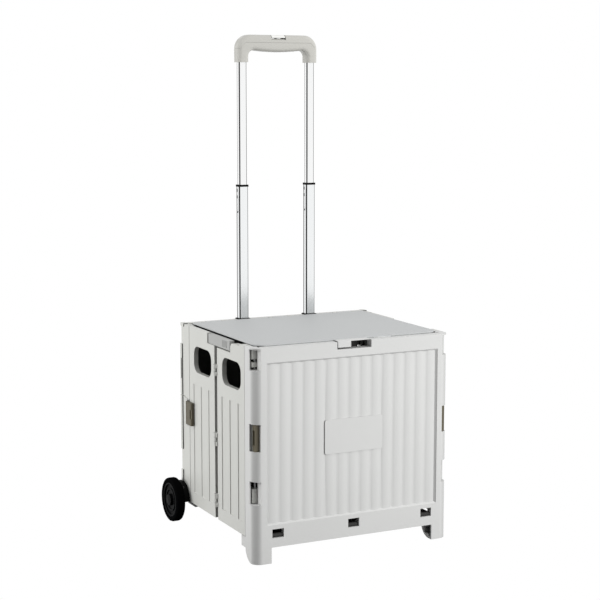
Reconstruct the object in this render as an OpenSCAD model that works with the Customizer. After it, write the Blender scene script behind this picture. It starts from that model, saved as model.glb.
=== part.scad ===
// Folding wheeled crate with a lid and a two-stage pull handle.
// +X is the crate's right as seen from the handle side's opposite (front) face, +Y runs back to the
// handle, +Z is up. The origin is on the ground, under the middle of the whole object's outline.

/* [Crate] */
// Width over the side walls
crate_w = 420; // [340:1:520]
// Depth from the front face to the back face
crate_d = 352; // [320:1:460]
// Height of the rim above the ground
rim_z = 410; // [360:1:520]
// Height of the bottom edge of the folding walls and the back frame
skirt_z = 46.5; // [42:0.5:60]
// Radius of the front vertical corners
corner_r = 18; // [8:1:19]

/* [Walls] */
// Depth of the moulded frame round each folding half wall
wall_t = 14; // [11:0.5:16]
// Thickness of the moulded skins
skin_t = 3; // [2.5:0.1:4]
// Depth of a post, from the front or back face to its seam
post_d = 40; // [36:1:46]
// Gap at a seam between a post and a half wall
seam_gap = 1; // [0.6:0.1:2]
// Gap between the two half walls of one side
mid_gap = 13; // [12:0.5:16]
// Width of a hand hole
hand_w = 88; // [70:1:92]
// Height of a hand hole
hand_h = 53; // [38:1:58]
// Height of the top edge of a hand hole below the rim
hand_drop = 36; // [36:1:50]

/* [Hinges] */
// Radius of the steel pins at the corner hinges
pin_r = 2; // [1.5:0.1:2.5]
// Radius of the steel pins at the middle hinges
mid_pin_r = 1.6; // [1.2:0.1:2]
// Running clearance between a pin and its bore, on the radius
run_gap = 0.08; // [0.05:0.01:0.1]
// Clearance on the radius at the one pivot that closes the loop of walls
open_gap = 0.3; // [0.2:0.05:0.5]

/* [Floor and lid] */
// Thickness of the lid plate
lid_t = 2.7; // [2.2:0.1:4]
// Width of rim left showing at each side of the lid
lid_inset = 15.6; // [12:0.2:24]
// Distance from the front face to the front edge of the lid
lid_front = 19.7; // [16:0.1:30]
// Thickness of the ribbed floor panel
floor_t = 8.5; // [7:0.1:8.7]

/* [Wheels] */
// Radius of a wheel over its tyre
wheel_r = 45; // [42:0.5:55]
// Width of a tyre
tyre_w = 20; // [14:0.5:26]
// Radius of a wheel axle
axle_r = 4; // [3:0.1:6]

/* [Handle] */
// Height of the top of the grip above the ground
grip_top = 990; // [920:1:1080]
// Distance between the two handle tubes, middle to middle
tube_pitch = 152.6; // [130:0.2:170]
// Height of the black collar at the top of the lower handle tubes
collar_z = 688; // [640:1:720]
// How far the lower handle tubes slide down into the crate
mid_travel = 262; // [200:1:275]
// How far the upper handle tubes slide down into the lower ones
upper_travel = 240; // [180:1:250]
// Wall of the handle tubes
tube_wall = 1.2; // [1:0.1:1.4]
// Sliding clearance between one tube and the next, each side
slide_gap = 0.3; // [0.2:0.05:0.5]

/* [Hidden] */

// Main planes and hinge lines, measured from the front face
half_w = crate_w / 2;
front_y = -(crate_d + wheel_r) / 2;
inner_x = half_w - wall_t;
hinge_x = inner_x + 1;
pin_inset = post_d - 16;
mid_y = crate_d / 2;
mid_x = half_w + 1;
rear_seam = crate_d - post_d;
wall_rear = rear_seam - seam_gap;
wall_front = post_d + seam_gap;
half_len = mid_y - mid_gap / 2 - wall_front;
frame_edge = 8;
hand_shift = 4;
hole_depth = wall_t - 4.5;
lug_r = 5;
mid_lug_r = 4.2;
eps = 0.01;

// Heights of the hinge lugs: each pair is a bottom and a top
front_lugs = [[115.2, 142], [216.2, 265.8], [rim_z - 37, rim_z - 28], [rim_z - 22, rim_z - 4.2]];
front_pockets = [[114, 158], [215, 267], [rim_z - 42, rim_z - 3]];
rear_lugs = [[109, 148], [rim_z - 111, rim_z - 72]];
mid_lugs = [[71, 97], [193, 219], [rim_z - 78, rim_z - 56]];
pocket_gap = 1.2;
post_skin = 4.2;
nose_skin = 2.4;
strip_out = 2.2;
lug_split = 0.4;

// Floor panel, hinged along the foot of the front panel
floor_top = skirt_z - 1;
floor_bottom = floor_top - floor_t;
floor_axis_y = 7.3;
floor_axis_z = skirt_z + 5.5;
floor_knuckle_r = 4;
floor_half = inner_x - 5.6;
floor_rear = crate_d - 23;
window_x = half_w - 49.5;
window_w = 24;
window_h = 17;
window_z = skirt_z + 1.9;
floor_pin_r = 1.5;

// Front panel
recess_half = half_w - 25.6;
recess_low = skirt_z + 27.1;
recess_high = rim_z - 28.3;
recess_d = 3.5;
flute_pitch = 24.2;
flute_r = 50;
flute_h = 1.5;
rail_low = 30.5;
bevel_w = 6;
foot_w = 36;
pad_t = 2.5;
notch_half = 36.6;
notch_d = 14;
rib_back = 12;
label_half = 62;
label_y = 0.8;
label_low = 196.6;
label_high = 262.6;

// Lid and its hinge
lid_gap = 0.3;
lid_z = rim_z + lid_gap;
lid_half = half_w - lid_inset;
lid_axis_y = crate_d - 24.5;
lid_axis_z = rim_z + 1.2;
lid_rear = lid_axis_y + 1.5;
lid_pin_r = 1;
lid_barrel_r = 2.8;
barrels = [-150, 0, 150];
barrel_len = 34;
rebate_z = 2.6;
rebate_x = 5.5;

// Slider that bars the middle seam at the rim
slider_front = mid_y - 64;
notch_front = mid_y - 70;
slider_rear = mid_y + 40;
slider_travel = 77;
slider_low = rim_z - 20.7;
slider_high = rim_z - 1.5;
slider_out = half_w - 1.5;
slider_in = inner_x + 2.3;
slider_room = 0.3;
block_front = wall_front + 22;

// Handle tubes: each size is [across X, along Y]
tube_x = tube_pitch / 2;
tube_y = crate_d - 7;
upper_size = [17, 13];
step = tube_wall + slide_gap;
lower_size = [upper_size[0] + 2 * step, upper_size[1] + 2 * step];
socket_size = [lower_size[0] + 2 * step, lower_size[1] + 2 * step];
channel_wall = 2.5;
channel_w = socket_size[0] + 2 * channel_wall;
socket_bottom = skirt_z + 14;
plug_h = 10;
guide_h = 16;
collar_h = 4;
collar_lip = 2.5;
lower_bottom = socket_bottom + plug_h + 19.5 + mid_travel;
upper_bottom = lower_bottom + guide_h + 20 + upper_travel;

// Grip
grip_half = 89;
grip_depth = 29;
grip_bar_h = 31;
screw_t = 2.8;
grip_leg_low = grip_top - 55;
grip_leg_in = 65;
grip_sag = 3.3;
button_half = 16;
button_low = grip_top - 3.7;
button_flange = 2;

// Wheels and latches
axle_y = crate_d;
axle_z = wheel_r;
bracket_r = 38;
bracket_t = 11;
wheel_in = half_w + bracket_t + 1;
wheel_mid = wheel_in + tyre_w / 2;
rim_r = wheel_r - 10;
hub_bore = axle_r + run_gap;
latch_low = 209;
latch_high = 256;
latch_y = rear_seam + 2;
latch_pin_x = half_w + 3.9;
latch_front = rear_seam - 23.5;
latch_t = 6;

// ---- Helpers ----

module placed() {
  translate([0, front_y, 0]) children();
}

module both_sides() {
  children();
  mirror([1, 0, 0]) children();
}

// A box given by its low and high corners
module box(low, high) {
  translate(low) cube(high - low);
}

module post(x, y, z0, z1, r) {
  translate([x, y, z0]) cylinder(r = r, h = z1 - z0, $fn = 48);
}

// A bar along X with a round section
module rod_x(x0, x1, y, z, r) {
  translate([x0, y, z]) rotate([0, 90, 0]) cylinder(r = r, h = x1 - x0, $fn = 48);
}

module rounded_square(w, h, r) {
  square([w - 2 * r, h], center = true);
  square([w, h - 2 * r], center = true);
  for (sx = [-1, 1], sy = [-1, 1])
    translate([sx * (w / 2 - r), sy * (h / 2 - r)]) circle(r = r, $fn = 32);
}

// A rectangular tube standing on its end, with rounded corners
module tube(size, z0, z1) {
  translate([0, 0, z0]) linear_extrude(z1 - z0) difference() {
    rounded_square(size[0], size[1], 2.5);
    rounded_square(size[0] - 2 * tube_wall, size[1] - 2 * tube_wall, 1.5);
  }
}

module at_tubes() {
  for (side = [-1, 1]) translate([side * tube_x, tube_y, 0]) children();
}

// ---- Back frame, the piece that everything else hangs from ----

module back_half() {
  // Post, with its hinge boss and its outer flange
  difference() {
    union() {
      box([hinge_x, rear_seam, skirt_z], [half_w, crate_d, rim_z]);
      box([recess_half - 2, crate_d - 22, skirt_z], [half_w, crate_d, rim_z]);
      post(hinge_x, crate_d - pin_inset, skirt_z, rim_z - 3, lug_r);
      box([hinge_x - 3.5, crate_d - pin_inset, skirt_z], [hinge_x + 1, crate_d - 20, rim_z - 3]);
      // Small cap that overhangs the post at the rim
      box([half_w - 8, crate_d - 14, rim_z - 5], [half_w + 1.5, crate_d + 1.5, rim_z + 1.5]);
      // Strip that thickens the post's back below the rim
      box([half_w - 6, crate_d - 6, skirt_z], [half_w + strip_out, crate_d + 2.5, rim_z - 41]);
    }
    for (lug = rear_lugs) {
      box([hinge_x - 12, rear_seam - 1, lug[0] - pocket_gap],
          [half_w - post_skin, crate_d - pin_inset + 7, lug[1] + pocket_gap]);
    }
    // Step and slit down the rear outer edge
    box([half_w, crate_d - 7, rear_lugs[0][0] - 2],
        [half_w + strip_out + 1, crate_d + 3, rear_lugs[0][1] + 2]);
    box([half_w - 4, crate_d - 4.5, rear_lugs[1][0] - 2],
        [half_w + strip_out + 1, crate_d - 1, rear_lugs[1][1] + 1]);
    // Sloping groove from the latch up to the rear edge
    translate([half_w - 1.5, 0, 0]) rotate([90, 0, 90]) linear_extrude(5)
      polygon([[rear_seam - 1, latch_high - 1], [crate_d + 4, latch_high + 8],
               [crate_d + 4, latch_high + 10.5], [rear_seam - 1, latch_high + 1.5]]);
    post(hinge_x, crate_d - pin_inset, rear_lugs[0][0] - 12, rear_lugs[1][1] + 12, pin_r + 0.05);
    // Hollow back of the post
    box([hinge_x + 3, crate_d - 14, skirt_z + 30], [half_w - 3, crate_d + 2, rim_z - 46]);
    box([recess_half + 1, crate_d - 18, skirt_z + 30], [hinge_x + 0.5, crate_d + 2, rim_z - 46]);
  }
  // Ledge that carries the rear edge of the floor
  ledge_low = floor_bottom - 3.5;
  box([floor_half + 0.5, rear_seam + 2, ledge_low], [hinge_x + 2, crate_d, skirt_z + 1]);
  box([floor_half - 13, rear_seam + 2, ledge_low], [floor_half + 1, crate_d, floor_bottom - 0.3]);
}

module back_frame() {
  skin_y = crate_d - 22;
  color([0.80, 0.80, 0.78]) placed() difference() {
    union() {
      both_sides() back_half();
      // Skin and its ribs
      box([-recess_half, skin_y, skirt_z], [recess_half, skin_y + skin_t, rim_z - 1]);
      for (z = [skirt_z + 6, 150, 250, rim_z - 70])
        box([-recess_half, skin_y, z - 1.5], [recess_half, skin_y + 12, z + 1.5]);
      for (x = [-135, -30, 30, 135])
        box([x - 1.5, skin_y, skirt_z], [x + 1.5, abs(x) < 50 ? crate_d - 5 : skin_y + 12, rim_z - 10]);
      // Top rail
      box([-half_w + 9, crate_d - 19, rim_z - 18], [half_w - 9, crate_d, rim_z + 1]);
      box([-recess_half, skin_y + 1, rim_z - 18], [recess_half, crate_d - 12, rim_z - 3.2]);
      // Channels that hold the handle sockets
      at_tubes() translate([0, 0, skirt_z]) linear_extrude(rim_z + 1 - skirt_z)
        rounded_square(channel_w, socket_size[1] + 2 * channel_wall, 3);
      for (side = [-1, 1]) translate([side * tube_x, 0, 0])
        box([-channel_w / 2, skin_y + 1, skirt_z], [channel_w / 2, tube_y, rim_z - 3.2]);
      // Lid hinge knuckles
      for (x = barrels, side = [-1, 1]) translate([x + side * (barrel_len / 2 + 5), 0, 0]) {
        rod_x(-4, 4, lid_axis_y, lid_axis_z, lid_barrel_r);
        box([-4, lid_axis_y, rim_z - rebate_z + 0.8], [4, lid_axis_y + 8, lid_axis_z]);
        box([-4, lid_axis_y + 3.5, rim_z - 10], [4, lid_axis_y + 8, lid_axis_z]);
      }
    }
    // Bores for the handle sockets
    at_tubes() translate([0, 0, socket_bottom]) linear_extrude(rim_z)
      rounded_square(socket_size[0], socket_size[1], 2.5);
    // Room for the lid barrels
    for (x = barrels)
      box([x - barrel_len / 2 - 0.6, skin_y - 1, lid_axis_z - lid_barrel_r - 1],
          [x + barrel_len / 2 + 0.6, lid_axis_y + lid_barrel_r + 0.8, rim_z + 5]);
    rod_x(-180, 180, lid_axis_y, lid_axis_z, lid_pin_r + 0.05);
    // Axle bores
    for (side = [-1, 1]) mirror([side < 0 ? 1 : 0, 0, 0])
      rod_x(half_w - 2, half_w + 20, axle_y, axle_z, axle_r + 0.05);
  }
}

module rear_hinge_pins() {
  color([0.6, 0.6, 0.6]) placed() both_sides()
    post(hinge_x, crate_d - pin_inset, rear_lugs[0][0] - 11, rear_lugs[1][1] + 11, pin_r);
}

module socket_tubes() {
  color([0.75, 0.76, 0.78]) placed() at_tubes()
    tube(socket_size, socket_bottom, rim_z - 4);
}

module socket_bushes() {
  color([0.15, 0.15, 0.15]) placed() at_tubes() difference() {
    union() {
      translate([0, 0, rim_z - 4]) linear_extrude(5 + 2)
        rounded_square(socket_size[0], socket_size[1], 2.5);
      translate([0, 0, rim_z + 1]) linear_extrude(2)
        rounded_square(socket_size[0] + 3, socket_size[1] + 3, 3);
    }
    translate([0, 0, rim_z - 6]) linear_extrude(20)
      rounded_square(lower_size[0] + 0.4, lower_size[1] + 0.4, 2.7);
  }
}

module socket_plugs() {
  color([0.15, 0.15, 0.15]) placed() at_tubes()
    translate([0, 0, socket_bottom]) linear_extrude(plug_h)
      rounded_square(socket_size[0] - 2 * tube_wall, socket_size[1] - 2 * tube_wall, 1.5);
}

module back_cover() {
  cover_low = skirt_z + 30;
  cover_half = tube_x - channel_w / 2;
  rib_half = cover_half - 12;
  slot_half = cover_half / 2;
  color([0.80, 0.80, 0.78]) placed() difference() {
    union() {
      box([-cover_half, crate_d - 5, cover_low], [cover_half, crate_d - 2.5, rim_z - 19]);
      for (z = [110, 200, 290])
        box([-rib_half, crate_d - 3, z], [rib_half, crate_d, z + 4]);
    }
    box([-slot_half, crate_d - 8, rim_z - 60], [slot_half, crate_d + 2, rim_z - 45]);
  }
}

// ---- Folding half walls ----

// One half wall, drawn on the right side; the seam end is at low Y for the rear one
module half_wall(y0, lugs, lug_side) {
  y1 = y0 + half_len;
  yc = (y0 + y1) / 2 - hand_shift;
  zc = rim_z - hand_drop - hand_h / 2;
  difference() {
    union() {
      box([half_w - skin_t, y0, skirt_z], [half_w, y1, rim_z]);
      difference() {
        box([inner_x, y0, skirt_z], [half_w, y1, rim_z]);
        box([inner_x - 1, y0 + frame_edge, skirt_z + frame_edge],
            [half_w - skin_t, y1 - frame_edge, rim_z - hand_drop + 6]);
      }
      for (z = [skirt_z + 70, skirt_z + 160, skirt_z + 245])
        box([inner_x + 3, y0 + 2, z], [half_w - 1, y1 - 2, z + 2.5]);
      for (y = [yc - 22, yc + 20])
        box([inner_x + 3, y, skirt_z + 2], [half_w - 1, y + 2.5, zc - hand_h / 2]);
      // Collar round the hand hole
      translate([half_w - hole_depth, yc, zc]) rotate([90, 0, 90]) linear_extrude(hole_depth)
        rounded_square(hand_w + 8, hand_h + 8, 22);
      // Corner hinge lugs
      for (lug = lugs) hinge_lug(lug, lug_side, y0, y1);
    }
    translate([inner_x - 1, yc, zc]) rotate([90, 0, 90]) linear_extrude(wall_t + 2)
      rounded_square(hand_w, hand_h, 19);
    // Three shallow flutes in the outer face
    for (i = [-1, 0, 1])
      box([half_w - 1.3, yc + i * 38 - 9, skirt_z + 25.5], [half_w + 1, yc + i * 38 + 9, rim_z - 114.5]);
    pin_y = lug_side > 0 ? crate_d - pin_inset : pin_inset;
    post(hinge_x, pin_y, skirt_z, rim_z + 1, pin_r + run_gap);
  }
}

module hinge_lug(lug, lug_side, y0, y1) {
  pin_y = lug_side > 0 ? crate_d - pin_inset : pin_inset;
  post(hinge_x, pin_y, lug[0], lug[1], lug_r);
  if (lug_side > 0) box([inner_x, y1 - 2, lug[0]], [hinge_x + lug_r, pin_y, lug[1]]);
  else {
    box([inner_x, pin_y, lug[0]], [hinge_x + lug_r, y0 + 2, lug[1]]);
    // Square nose that fills the pocket in the corner post
    box([hinge_x - 2, pin_y - 6, lug[0]], [hinge_x + 8, pin_y + 6, lug[1]]);
  }
}

// A middle hinge knuckle on the wall whose seam end is at wall_y; dir points to the wall
module mid_knuckle(z0, z1, wall_y, dir) {
  difference() {
    union() {
      post(mid_x, mid_y, z0, z1, mid_lug_r);
      if (dir > 0) box([mid_x - mid_lug_r, mid_y, z0], [mid_x + 0.9, wall_y + 1, z1]);
      else box([mid_x - mid_lug_r, wall_y - 1, z0], [mid_x + 0.9, mid_y, z1]);
    }
    post(mid_x, mid_y, z0 - 1, z1 + 1, mid_pin_r + (dir > 0 ? 0.05 : run_gap));
  }
}

module rear_wall() {
  y0 = mid_y + mid_gap / 2;
  difference() {
    half_wall(y0, rear_lugs, 1);
    // Track of the slider, open at the seam, covered where the slider hides
    box([slider_in - slider_room, y0 - 1, slider_low - slider_room],
        [slider_out + slider_room, slider_rear + slider_travel + 2, slider_high + slider_room]);
    box([inner_x + 4, y0 - 1, slider_low - slider_room],
        [half_w + 1, slider_rear + 1, rim_z + 1]);
    // Rebate that clears the lid hinge when the wall is folded
    box([inner_x - 1, y0 - 1, rim_z - rebate_z], [inner_x + rebate_x, wall_rear + 1, rim_z + 1]);
  }
  for (lug = mid_lugs) {
    third = (lug[1] - lug[0]) / 3;
    mid_knuckle(lug[0] + third + lug_split, lug[1] - third - lug_split, y0, 1);
  }
}

module front_wall(open) {
  y0 = wall_front;
  y1 = mid_y - mid_gap / 2;
  difference() {
    half_wall(y0, front_lugs, -1);
    // Notch that the slider bars when the crate is open
    box([inner_x - 1, notch_front, slider_low - 2], [half_w + 1, y1 + 1, rim_z + 1]);
    // Lowered block in front of the notch, rounded at its top rear edge
    box([inner_x - 1, block_front, rim_z - 4], [half_w + 1, notch_front + 1, rim_z + 1]);
    difference() {
      box([inner_x - 1, notch_front - 10, rim_z - 14], [half_w + 1, notch_front + 1, rim_z]);
      rod_x(inner_x - 2, half_w + 2, notch_front - 10, rim_z - 14, 10);
    }
    if (open) post(hinge_x, pin_inset, skirt_z, rim_z + 1, pin_r + open_gap);
  }
  for (lug = mid_lugs) {
    third = (lug[1] - lug[0]) / 3;
    mid_knuckle(lug[0], lug[0] + third, y1, -1);
    mid_knuckle(lug[1] - third, lug[1], y1, -1);
  }
}

wall_grey = [0.80, 0.80, 0.78];
module left_rear_wall() { color(wall_grey) placed() mirror([1, 0, 0]) rear_wall(); }
module right_rear_wall() { color(wall_grey) placed() rear_wall(); }
module left_front_wall() { color(wall_grey) placed() mirror([1, 0, 0]) front_wall(false); }
module right_front_wall() { color(wall_grey) placed() front_wall(true); }

module mid_pins() {
  for (lug = mid_lugs) post(mid_x, mid_y, lug[0], lug[1], mid_pin_r);
}
module left_mid_pins() { color([0.6, 0.6, 0.6]) placed() mirror([1, 0, 0]) mid_pins(); }
module right_mid_pins() { color([0.6, 0.6, 0.6]) placed() mid_pins(); }

module slider() {
  difference() {
    box([slider_in, slider_front, slider_low], [slider_out, slider_rear, slider_high]);
    for (y = [mid_y - 50 : 6 : mid_y - 32])
      box([slider_out - 0.8, y, slider_low + 3], [slider_out + 1, y + 2, slider_high - 3]);
  }
}
module left_slider() { color([0.57, 0.58, 0.56]) placed() mirror([1, 0, 0]) slider(); }
module right_slider() { color([0.57, 0.58, 0.56]) placed() slider(); }

// ---- Front panel with its feet ----

// Rubber pad let into the sole; below extends it downwards, to cut its seat
module foot_pad(below) {
  box([half_w - foot_w + 5, 3, -below], [half_w - 15, 9.5, pad_t]);
}

module foot() {
  // Foot under the corner, hollow at the back, with a rounded rear lower corner
  rear_r = 28;
  difference() {
    union() {
      box([half_w - foot_w, 0, 0], [half_w, 12, skirt_z + 2]);
      box([half_w - foot_w, 0, rear_r], [half_w, post_d, skirt_z + 2]);
      intersection() {
        rod_x(half_w - foot_w, half_w, 12, rear_r, rear_r);
        box([half_w - foot_w, 11, 0], [half_w, post_d, rear_r + 1]);
      }
      // Small gusset behind the foot
      box([inner_x + 4.5, post_d - 1, skirt_z - 22], [half_w - 1, post_d + 20, skirt_z - 1.5]);
    }
    // Hollow, open to the inside of the crate
    box([half_w - foot_w - 1, 4, 5], [half_w - 15, 11, skirt_z - 12]);
    box([half_w - foot_w - 1, 10, 9], [half_w - 4, 28, skirt_z - 12]);
    // Seat of the rubber pad
    foot_pad(1);
    // Room for the floor panel above the foot
    box([half_w - foot_w - 1, rib_back - 0.6, floor_bottom - 0.8],
        [floor_half + 1.2, post_d + 1, skirt_z + 3]);
  }
}

module front_half() {
  difference() {
    union() {
      box([hinge_x, 0, skirt_z], [half_w, post_d, rim_z]);
      box([recess_half - 1, 0, skirt_z], [half_w, rib_back, rim_z]);
      post(hinge_x, pin_inset, skirt_z, rim_z, lug_r);
      box([hinge_x - 3.5, rib_back - 1, skirt_z], [hinge_x + 1, pin_inset, rim_z]);
      foot();
    }
    // Pockets round the hinge lugs, open at the corner
    for (pocket = front_pockets) {
      box([hinge_x - 12, pin_inset - 7, pocket[0]], [half_w - nose_skin, post_d + 1, pocket[1]]);
      box([half_w - 15, -1, pocket[0]], [half_w + 1, pin_inset - 4, pocket[1]]);
    }
    post(hinge_x, pin_inset, front_pockets[0][0] - 12, front_pockets[2][1] + 3, pin_r + 0.05);
    // Round the outer corner
    difference() {
      box([half_w - corner_r, -1, -1], [half_w + 1, corner_r, rim_z + 1]);
      post(half_w - corner_r, corner_r, -2, rim_z + 2, corner_r);
    }
  }
}

// One soft vertical flute on the skin, standing proud of it by flute_h
module flute(i) {
  intersection() {
    translate([i * flute_pitch, recess_d - flute_h + flute_r, recess_low])
      cylinder(r = flute_r, h = recess_high - recess_low, $fn = 96);
    box([(i - 0.5) * flute_pitch, recess_d - 2, recess_low],
        [(i + 0.5) * flute_pitch, recess_d + 0.5, recess_high]);
  }
}

module front_panel() {
  skin_back = recess_d + skin_t;
  color([0.84, 0.84, 0.83]) placed() difference() {
    union() {
      both_sides() front_half();
      // Skin and the frame round it
      box([-recess_half - 1, recess_d, recess_low - 2], [recess_half + 1, skin_back, recess_high + 2]);
      box([-half_w + foot_w - 1, 0, rail_low], [half_w - foot_w + 1, 4, recess_low]);
      box([-recess_half, 0, skirt_z + 0.5], [recess_half, rib_back, recess_low]);
      box([-recess_half - 1, 0, recess_high], [recess_half + 1, rib_back, rim_z]);
      box([-hinge_x + lug_r + 1, 3, recess_high + 3], [hinge_x - lug_r - 1, lid_front - 0.7, rim_z]);
      // Soft vertical flutes on the skin
      for (i = [-7 : 7]) flute(i);
      // Flat pad behind the label plate
      box([-label_half + 1, recess_d - flute_h, label_low + 1],
          [label_half - 1, recess_d + 1, label_high - 1]);
      // Bevelled edges of the recess
      for (side = [0, 1]) mirror([side, 0, 0]) translate([0, 0, recess_low]) linear_extrude(
        recess_high - recess_low) polygon([[recess_half + 1, 0], [recess_half, 0],
          [recess_half - bevel_w, recess_d], [recess_half - bevel_w, recess_d + 1],
          [recess_half + 1, recess_d + 1]]);
      for (edge = [[recess_high, -1], [recess_low, 1]]) translate([-recess_half, 0, edge[0]])
        rotate([90, 0, 90]) linear_extrude(2 * recess_half) polygon([[0, 0], [recess_d, edge[1] * 4],
          [recess_d + 1, edge[1] * 4], [recess_d + 1, -edge[1]], [0, -edge[1]]]);
      // Ribs behind the skin
      for (x = [-120, -40, 40, 120])
        box([x - 1.25, skin_back - 1, recess_low - 1], [x + 1.25, rib_back, recess_high + 1]);
      for (z = [150, 230, 310])
        box([-recess_half, skin_back - 1, z - 1.25], [recess_half, rib_back, z + 1.25]);
    }
    // Flat back of the skin between the ribs
    for (x = [-152, -80, 0, 80, 152], z = [[recess_low + 1, 148.75], [151.25, 228.75],
                                          [231.25, 308.75], [311.25, recess_high - 1]]) {
      w = abs(x) > 100 ? 30 : 38.75;
      box([x - w, skin_back, z[0]], [x + w, rib_back + 6, z[1]]);
    }
    box([-recess_half - 1, rib_back, recess_low - 1], [recess_half + 1, rib_back + 10, recess_high + 1]);
    box([-recess_half + 6, 6, recess_high + 6], [recess_half - 6, lid_front, rim_z - notch_d - 3]);
    // Finger notch in the top rail
    box([-notch_half, -1, rim_z - notch_d], [notch_half, lid_front + 1, rim_z + 1]);
    // Windows for the floor hinge
    for (x = [-window_x, 0, window_x]) {
      box([x - window_w / 2, -1, window_z], [x + window_w / 2, rib_back + 1, window_z + window_h]);
      box([x - window_w / 2, 4, skirt_z - 4], [x + window_w / 2, rib_back + 1, window_z + 1]);
    }
    rod_x(-window_x - 30, window_x + 30, floor_axis_y, floor_axis_z, floor_pin_r + 0.05);
  }
}

module label_plate() {
  color([0.86, 0.86, 0.85]) placed() translate([0, label_y, (label_low + label_high) / 2])
    rotate([-90, 0, 0]) linear_extrude(recess_d - flute_h - label_y)
      rounded_square(2 * label_half, label_high - label_low, 4);
}

module front_hinge_pins() {
  color([0.6, 0.6, 0.6]) placed() both_sides()
    post(hinge_x, pin_inset, front_pockets[0][0] - 11, front_pockets[2][1] + 2, pin_r);
}

module latch_keepers() {
  pocket = front_pockets[1];
  color([0.3, 0.27, 0.2]) placed() both_sides() difference() {
    box([half_w - 15, 7, pocket[0]], [half_w - 5.5, pin_inset - 7, pocket[1]]);
    box([half_w - 8, 9, pocket[0] + 12], [half_w - 5, pin_inset - 9, pocket[1] - 12]);
  }
}

module floor_pins() {
  color([0.6, 0.6, 0.6]) placed() for (x = [-window_x, 0, window_x])
    rod_x(x - window_w / 2 - 8, x + window_w / 2 + 8, floor_axis_y, floor_axis_z, floor_pin_r);
}

module foot_pads() {
  color([0.1, 0.1, 0.1]) placed() both_sides() foot_pad(0);
}

// ---- Floor panel ----

module floor_panel() {
  color([0.78, 0.78, 0.76]) placed() difference() {
    union() {
      difference() {
        box([-floor_half, rib_back - 0.3, floor_bottom], [floor_half, floor_rear, floor_top]);
        // Ribbed underside
        for (i = [-3 : 3], j = [0 : 5])
          box([i * 52 - 24, 34 + j * 48, floor_bottom - 1], [i * 52 + 24, 79 + j * 48, floor_top - 3]);
      }
      for (x = [-window_x, 0, window_x]) {
        rod_x(x - window_w / 2 + 1, x + window_w / 2 - 1, floor_axis_y, floor_axis_z, floor_knuckle_r);
        box([x - window_w / 2 + 1, floor_axis_y - 2.8, floor_bottom + 3],
            [x + window_w / 2 - 1, floor_axis_y + 3.6, floor_axis_z]);
        box([x - window_w / 2 + 1, floor_axis_y, floor_bottom + 3],
            [x + window_w / 2 - 1, rib_back + 2, floor_top]);
      }
    }
    rod_x(-window_x - 30, window_x + 30, floor_axis_y, floor_axis_z, floor_pin_r + run_gap);
  }
}

// ---- Lid ----

module lid() {
  lid_r = 20;
  color([0.74, 0.74, 0.74]) placed() difference() {
    union() {
      translate([0, 0, lid_z]) linear_extrude(lid_t) {
        translate([-lid_half, lid_front + lid_r]) square([2 * lid_half, lid_rear - lid_front - lid_r]);
        translate([-lid_half + lid_r, lid_front]) square([2 * (lid_half - lid_r), lid_r + 1]);
        for (side = [-1, 1]) translate([side * (lid_half - lid_r), lid_front + lid_r])
          circle(r = lid_r, $fn = 64);
      }
      for (x = barrels) translate([x, 0, 0]) {
        rod_x(-barrel_len / 2, barrel_len / 2, lid_axis_y, lid_axis_z, lid_barrel_r);
        box([-barrel_len / 2, lid_axis_y - 4, lid_z], [barrel_len / 2, lid_axis_y, lid_z + lid_t]);
      }
    }
    rod_x(-180, 180, lid_axis_y, lid_axis_z, lid_pin_r + run_gap);
    // Notches round the frame's knuckles
    for (x = barrels, side = [-1, 1])
      box([x + side * (barrel_len / 2 + 5) - 4.5, lid_axis_y - lid_barrel_r - 0.7, lid_z - 3],
          [x + side * (barrel_len / 2 + 5) + 4.5, lid_rear + 1, lid_z + lid_t + 3]);
  }
}

module lid_tab() {
  color([0.85, 0.85, 0.85]) placed() {
    box([-notch_half + 3, 2.5, lid_z], [notch_half - 3, lid_front, lid_z + 1.6]);
    box([-notch_half + 3, 2.5, rim_z - notch_d + 3], [-6, 5, lid_z]);
  }
}

module lid_hinge_pin() {
  color([0.6, 0.6, 0.6]) placed() for (x = barrels)
    rod_x(x - barrel_len / 2 - 8, x + barrel_len / 2 + 8, lid_axis_y, lid_axis_z, lid_pin_r);
}

// ---- Telescoping handle ----

module lower_tubes() {
  color([0.80, 0.81, 0.83]) placed() at_tubes() difference() {
    tube(lower_size, lower_bottom, collar_z - collar_lip);
    // Catch slots in the side and a stop hole lower down
    for (z = [collar_z - 11.4, collar_z - 25])
      box([-20, 2, z - 3], [-5, 4.5, z + 3]);
    rod_x(-20, 20, 0, collar_z - 56, 1.8);
    translate([0, 0, lower_bottom + 30]) rotate([90, 0, 0]) cylinder(r = 3.05, h = 20, $fn = 32);
  }
}

module lower_collars() {
  color([0.1, 0.1, 0.1]) placed() at_tubes() difference() {
    union() {
      translate([0, 0, collar_z - collar_h]) linear_extrude(collar_h) difference() {
        rounded_square(lower_size[0] + 2.4, lower_size[1] + 2.4, 3);
        rounded_square(upper_size[0] + 0.4, upper_size[1] + 0.4, 2.6);
      }
    }
    translate([0, 0, collar_z - collar_h - 1]) linear_extrude(collar_h + 1 - collar_lip)
      rounded_square(lower_size[0], lower_size[1], 2.5);
  }
}

module lower_guides() {
  color([0.15, 0.15, 0.15]) placed() at_tubes() difference() {
    translate([0, 0, lower_bottom]) linear_extrude(guide_h)
      rounded_square(lower_size[0] - 2 * tube_wall, lower_size[1] - 2 * tube_wall, 1.5);
    translate([0, 0, lower_bottom - 1]) cylinder(r = 4, h = guide_h + 2, $fn = 32);
  }
}

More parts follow.
